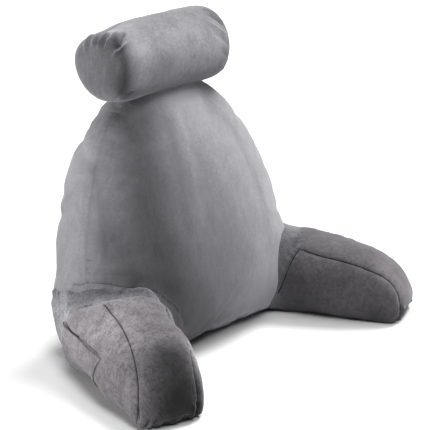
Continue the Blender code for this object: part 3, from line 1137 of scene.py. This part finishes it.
class PILLOW_OT_pocket(bpy.types.Operator):
    """Make the flat patch pocket on the right arm's outer side"""

    bl_idname = "pillow.pocket"
    bl_label = "Side pocket"

    columns: IntProperty(name="Columns", description="Divisions along the mouth", default=90, min=4)
    rows: IntProperty(name="Rows", description="Divisions from foot to mouth", default=56, min=4)

    def execute(self, context):
        settings = context.scene.pillow
        arm = ArmFrame(-1)
        tree = tree_of(bpy.data.objects["right_armrest"])
        mouth, foot = np.array(POCKET_MOUTH, float), np.array(POCKET_FOOT, float)
        work = bmesh.new()
        lay = []
        for i in range(self.columns + 1):
            u = i / self.columns
            column = []
            for j in range(self.rows + 1):
                v = j / self.rows
                f, z = (1 - v) * ((1 - u) * foot[0] + u * foot[1]) + v * ((1 - u) * mouth[0] + u * mouth[1])
                f -= 4.0 * math.sin(math.pi * v) * u
                start = Vector(arm.place((f, 200.0, z))[0])
                spot, normal, _, _ = tree.ray_cast(start, Vector(-arm.out))
                column.append((spot, normal, u, v))
            lay.append(column)
        layers = []
        for lift in (CLEARANCE, CLEARANCE + POCKET_THICKNESS):
            grid = []
            for column in lay:
                made = []
                for spot, normal, u, v in column:
                    slack = math.sin(math.pi * min(1.0, 0.15 + u * 1.1)) ** 2
                    gape = POCKET_GAPE * slack * max(0.0, (v - 0.86) / 0.14) ** 2
                    made.append(work.verts.new(spot + normal * (lift + gape)))
                grid.append(made)
            layers.append(grid)
        for grid in layers:
            for i in range(self.columns):
                for j in range(self.rows):
                    work.faces.new((grid[i][j], grid[i + 1][j], grid[i + 1][j + 1], grid[i][j + 1]))
        inner, outer = layers
        last, top = self.columns, self.rows
        rim = [(i, 0) for i in range(last)] + [(last, j) for j in range(top)]
        rim += [(i, top) for i in range(last, 0, -1)] + [(0, j) for j in range(top, 0, -1)]
        for (i, j), (k, m) in zip(rim, rim[1:] + rim[:1]):
            work.faces.new((inner[i][j], inner[k][m], outer[k][m], outer[i][j]))
        bmesh.ops.recalc_face_normals(work, faces=work.faces)
        mesh = bpy.data.meshes.new("pocket_patch")
        work.to_mesh(mesh)
        work.free()
        mesh.shade_smooth()
        obj = bpy.data.objects.new("pocket_patch", mesh)
        bpy.context.scene.collection.objects.link(obj)
        points = positions(obj)
        set_attribute(obj, "seam", np.full(len(points), 0.05))
        across, up = np.meshgrid(np.linspace(0, 1, last + 1), np.linspace(0, 1, top + 1), indexing="ij")
        # painted shade along the pocket's open mouth, darker over the part nearer the back
        mouth_shade = np.clip((up - 0.965) / 0.02, 0.0, 1.0) * np.where(across < 0.45, 0.6, 0.4)
        set_attribute(obj, "crease_shade", np.tile(mouth_shade.ravel(), 2))
        paint_light_and_nap(obj, RIGHT_ARM_PAINTED_LIGHT, arm.place, bpy.data.objects["right_armrest"])
        wear(obj, plush("pocket_plush", settings.arm_colour, 0.42, 0.75))
        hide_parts("side_pocket")
        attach(obj, "root")
        return {"FINISHED"}


LAMP_SPREAD = math.radians(25)  # how wide each softbox looks from the pillow
LAMP_DISTANCE = 3.0
LAMP_TARGET = (0.0, 0.0, 0.28)
CAMERA_LENS = 131.1
CAMERA_TARGET = (0.0137, 0.015, 0.2524)
CAMERA_AZIMUTH, CAMERA_ELEVATION, CAMERA_DISTANCE = -49.3, 17.39, 3.07


def aim(obj, place, target):
    """Puts an object at a place and points its -Z at a target."""
    obj.location = place
    obj.rotation_euler = (Vector(target) - Vector(place)).to_track_quat("-Z", "Y").to_euler()


def from_angles(azimuth, elevation, distance, target):
    """A place at a distance from a target, with the azimuth counted from the front towards +X."""
    a, e = math.radians(azimuth), math.radians(elevation)
    way = Vector((math.sin(a) * math.cos(e), -math.cos(a) * math.cos(e), math.sin(e)))
    return Vector(target) + way * distance


class PILLOW_OT_stage(bpy.types.Operator):
    """Make the pale floor, the soft lights and the camera"""

    bl_idname = "pillow.stage"
    bl_label = "Stage"

    def execute(self, context):
        scene = context.scene
        bpy.ops.mesh.primitive_plane_add(size=40.0, location=(0.0, 0.0, -0.0005))
        floor = context.active_object
        floor.name = "studio_floor"
        paint = Shader("floor_paint")
        plain = {"Base Color": (0.74, 0.74, 0.74, 1.0), "Roughness": 0.9, "Specular IOR Level": 0.0}
        paint.fill(paint.surface, plain)
        wear(floor, paint.material)

        lamps = (
            # name, azimuth, elevation, strength, tint
            ("key_softbox", 90.0, 60.0, 3.55, (1.0, 0.99, 0.98)),
            ("side_softbox", -120.0, 10.0, 2.90, (1.0, 0.99, 0.98)),
            ("front_softbox", -30.0, 62.0, 1.40, (1.0, 1.0, 1.0)),
            ("top_softbox", 0.0, 88.0, 0.82, (0.97, 0.98, 1.0)),
            ("rear_softbox", 150.0, 35.0, 0.75, (0.97, 0.98, 1.0)),
        )
        for name, azimuth, elevation, strength, tint in lamps:
            data = bpy.data.lights.new(name, "SUN")
            data.angle, data.energy, data.color = LAMP_SPREAD, strength, tint
            lamp = bpy.data.objects.new(name, data)
            scene.collection.objects.link(lamp)
            aim(lamp, from_angles(azimuth, elevation, LAMP_DISTANCE, LAMP_TARGET), LAMP_TARGET)

        world = bpy.data.worlds.new("studio")
        scene.world = world
        world.use_nodes = True
        world.node_tree.nodes["Background"].inputs[0].default_value = (1.0, 1.0, 1.0, 1.0)
        world.node_tree.nodes["Background"].inputs[1].default_value = 0.05
        scene.view_settings.view_transform = "Standard"

        data = bpy.data.cameras.new("camera")
        data.sensor_width = 36.0
        data.lens = CAMERA_LENS
        camera = bpy.data.objects.new("camera", data)
        scene.collection.objects.link(camera)
        spot = from_angles(CAMERA_AZIMUTH, CAMERA_ELEVATION, CAMERA_DISTANCE, CAMERA_TARGET)
        aim(camera, spot, CAMERA_TARGET)
        scene.camera = camera
        return {"FINISHED"}


class PILLOW_PT_panel(bpy.types.Panel):
    """The pillow's pieces, in the order they are made"""

    bl_label = "Reading Pillow"
    bl_idname = "PILLOW_PT_panel"
    bl_space_type = "VIEW_3D"
    bl_region_type = "UI"
    bl_category = "Pillow"

    def draw(self, context):
        settings = context.scene.pillow
        for key in settings.bl_rna.properties.keys():
            if key not in ("rna_type", "name"):
                self.layout.prop(settings, key)
        for operator in OPERATORS:
            self.layout.operator(operator.bl_idname)


OPERATORS = (PILLOW_OT_back, PILLOW_OT_arms, PILLOW_OT_roll, PILLOW_OT_pocket, PILLOW_OT_stage)
CLASSES = (PillowSettings, *OPERATORS, PILLOW_PT_panel)


def register():
    for made in CLASSES:
        bpy.utils.register_class(made)
    bpy.types.Scene.pillow = PointerProperty(type=PillowSettings)


def unregister():
    del bpy.types.Scene.pillow
    for made in reversed(CLASSES):
        bpy.utils.unregister_class(made)


def main():
    register()
    bpy.ops.pillow.back()
    bpy.ops.pillow.arms()
    bpy.ops.pillow.roll()
    bpy.ops.pillow.pocket()
    bpy.ops.pillow.stage()


if __name__ == "__main__":
    main()
